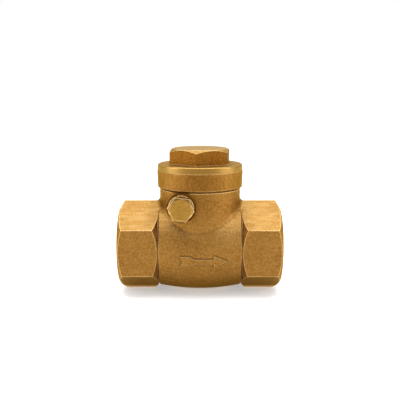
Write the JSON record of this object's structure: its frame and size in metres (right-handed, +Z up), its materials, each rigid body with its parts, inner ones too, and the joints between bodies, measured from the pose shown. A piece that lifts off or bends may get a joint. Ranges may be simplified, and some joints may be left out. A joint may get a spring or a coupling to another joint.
{
  "type": "swing check valve",
  "caption": "Small brass swing check valve with female pipe threads, hexagon ends, a screwed cap, a side pin plug and a hinged disc inside.",
  "frame": {"origin": "centre of the inlet end face, on the run's axis", "axes": "+X runs with the flow from the inlet to the outlet, +Z points up the neck to the cap, +Y points away from the side plug"},
  "size_m": [0.051, 0.0293, 0.0454],
  "materials": {
    "forged_brass": "fine blasted forging",
    "cap_brass": "fine blasted forging with a turned band",
    "turned_brass": "turned",
    "gasket_fibre": "matt",
    "seal_rubber": "matt",
    "steel": "turned"
  },
  "bodies": {
    "valve_body": {"body": "forged_brass", "hinge_pin": "steel"},
    "clapper_arm": {"swing_arm": "turned_brass"},
    "clapper_disc": {"disc": "turned_brass", "disc_seal": "seal_rubber", "seal_washer": "steel", "seal_screw": "steel", "disc_washer": "steel", "disc_nut": "turned_brass"},
    "bonnet_gasket": {"cap_gasket": "gasket_fibre"},
    "bonnet_cap": {"cap": "cap_brass"},
    "pin_plug_washer": {"plug_washer": "turned_brass"},
    "pin_plug_screw": {"pin_plug": "turned_brass"}
  },
  "joints": [
    {"name": "clapper_swing", "type": "hinge", "parent": "valve_body", "child": "clapper_arm", "pos_m": [0.0198, 0, 0.014], "axis": [0, -1, 0], "range_deg": [0, 47]},
    {"name": "disc_turn", "type": "hinge", "parent": "clapper_arm", "child": "clapper_disc", "pos_m": [0.0225, 0, 0], "axis": [1, 0, 0], "continuous": true},
    {"name": "cap_lift", "type": "slide", "parent": "valve_body", "child": "bonnet_gasket", "axis": [0, 0, 1], "range_m": [0, 0.005]},
    {"name": "cap_turn", "type": "hinge", "parent": "bonnet_gasket", "child": "bonnet_cap", "pos_m": [0.0255, 0, 0.022], "axis": [0, 0, 1], "range_deg": [0, 1800]},
    {"name": "plug_draw", "type": "slide", "parent": "valve_body", "child": "pin_plug_washer", "axis": [0, -1, 0], "range_m": [0, 0.0032]},
    {"name": "plug_turn", "type": "hinge", "parent": "pin_plug_washer", "child": "pin_plug_screw", "pos_m": [0.0198, -0.012, 0.014], "axis": [0, -1, 0], "range_deg": [0, 1440]}
  ],
  "couplings": [
    {"joint": "cap_turn", "follows": "cap_lift", "rad_per_m": 6283.2},
    {"joint": "plug_turn", "follows": "plug_draw", "rad_per_m": 7854}
  ]
}
